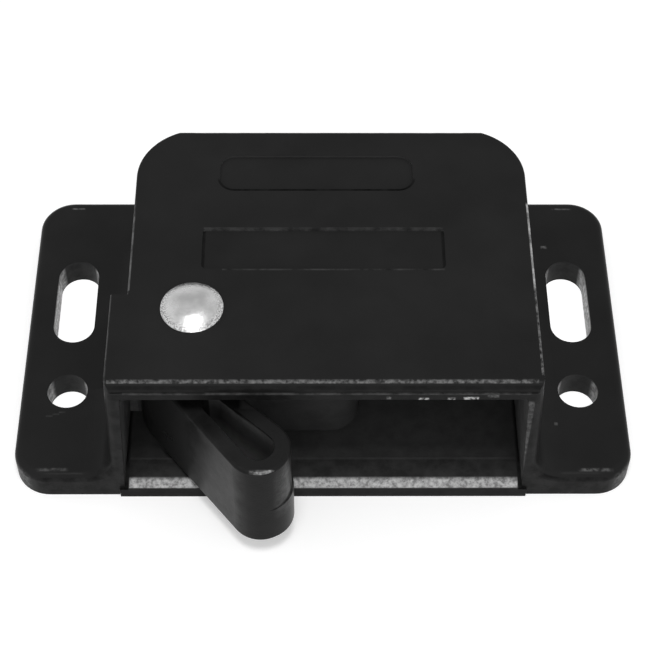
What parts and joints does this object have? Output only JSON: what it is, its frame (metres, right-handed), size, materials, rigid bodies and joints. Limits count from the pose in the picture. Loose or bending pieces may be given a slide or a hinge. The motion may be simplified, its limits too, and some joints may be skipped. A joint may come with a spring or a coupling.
{
  "type": "cupboard catch latch",
  "caption": "Push-to-close cupboard catch: a black flanged housing with a spring-toggled claw lever that swings on a rivet and grips a keeper post in its mouth.",
  "frame": {"origin": "midway between the two round screw holes, on the mounting plane", "axes": "+X to the right along the flanges, +Y to the back of the catch, away from the mouth, +Z away from the mounting surface"},
  "size_m": [0.073, 0.0507, 0.0238],
  "materials": {
    "housing_plastic": "satin moulded black",
    "plate_plastic": "satin moulded black",
    "lever_plastic": "smooth moulded black",
    "rivet_metal": "lightly scratched",
    "steel": "zinc plated",
    "spring_steel": "drawn wire",
    "guide_plastic": "plain moulded black"
  },
  "bodies": {
    "frame": {"housing": "housing_plastic", "base_plate": "plate_plastic", "pivot_rivet": "rivet_metal", "rivet_washer": "steel"},
    "claw": {"lever": "lever_plastic", "crank_pin": "steel"},
    "guide": {"spring_guide": "guide_plastic", "toggle_spring": "spring_steel"},
    "seat": {"spring_seat": "guide_plastic"}
  },
  "joints": [
    {"name": "lever_pivot", "type": "hinge", "parent": "frame", "child": "claw", "pos_m": [-0.01474, -0.00191, 0.01], "axis": [0, 0, 1], "range_deg": [0, 48], "deforming": ["toggle_spring"]},
    {"name": "guide_pivot", "type": "hinge", "parent": "claw", "child": "guide", "pos_m": [-0.0121, 0.00403, 0.01038], "axis": [0, 0, 1], "range_deg": [-66.7, 0]},
    {"name": "seat_pivot", "type": "hinge", "parent": "frame", "child": "seat", "pos_m": [-0.01474, 0.02009, 0.01038], "axis": [0, 0, 1], "range_deg": [-18.7, 0]}
  ],
  "couplings": [
    {"joint": "guide_pivot", "follows": "lever_pivot", "ratio": -1.3895},
    {"joint": "seat_pivot", "follows": "lever_pivot", "ratio": -0.38947}
  ]
}
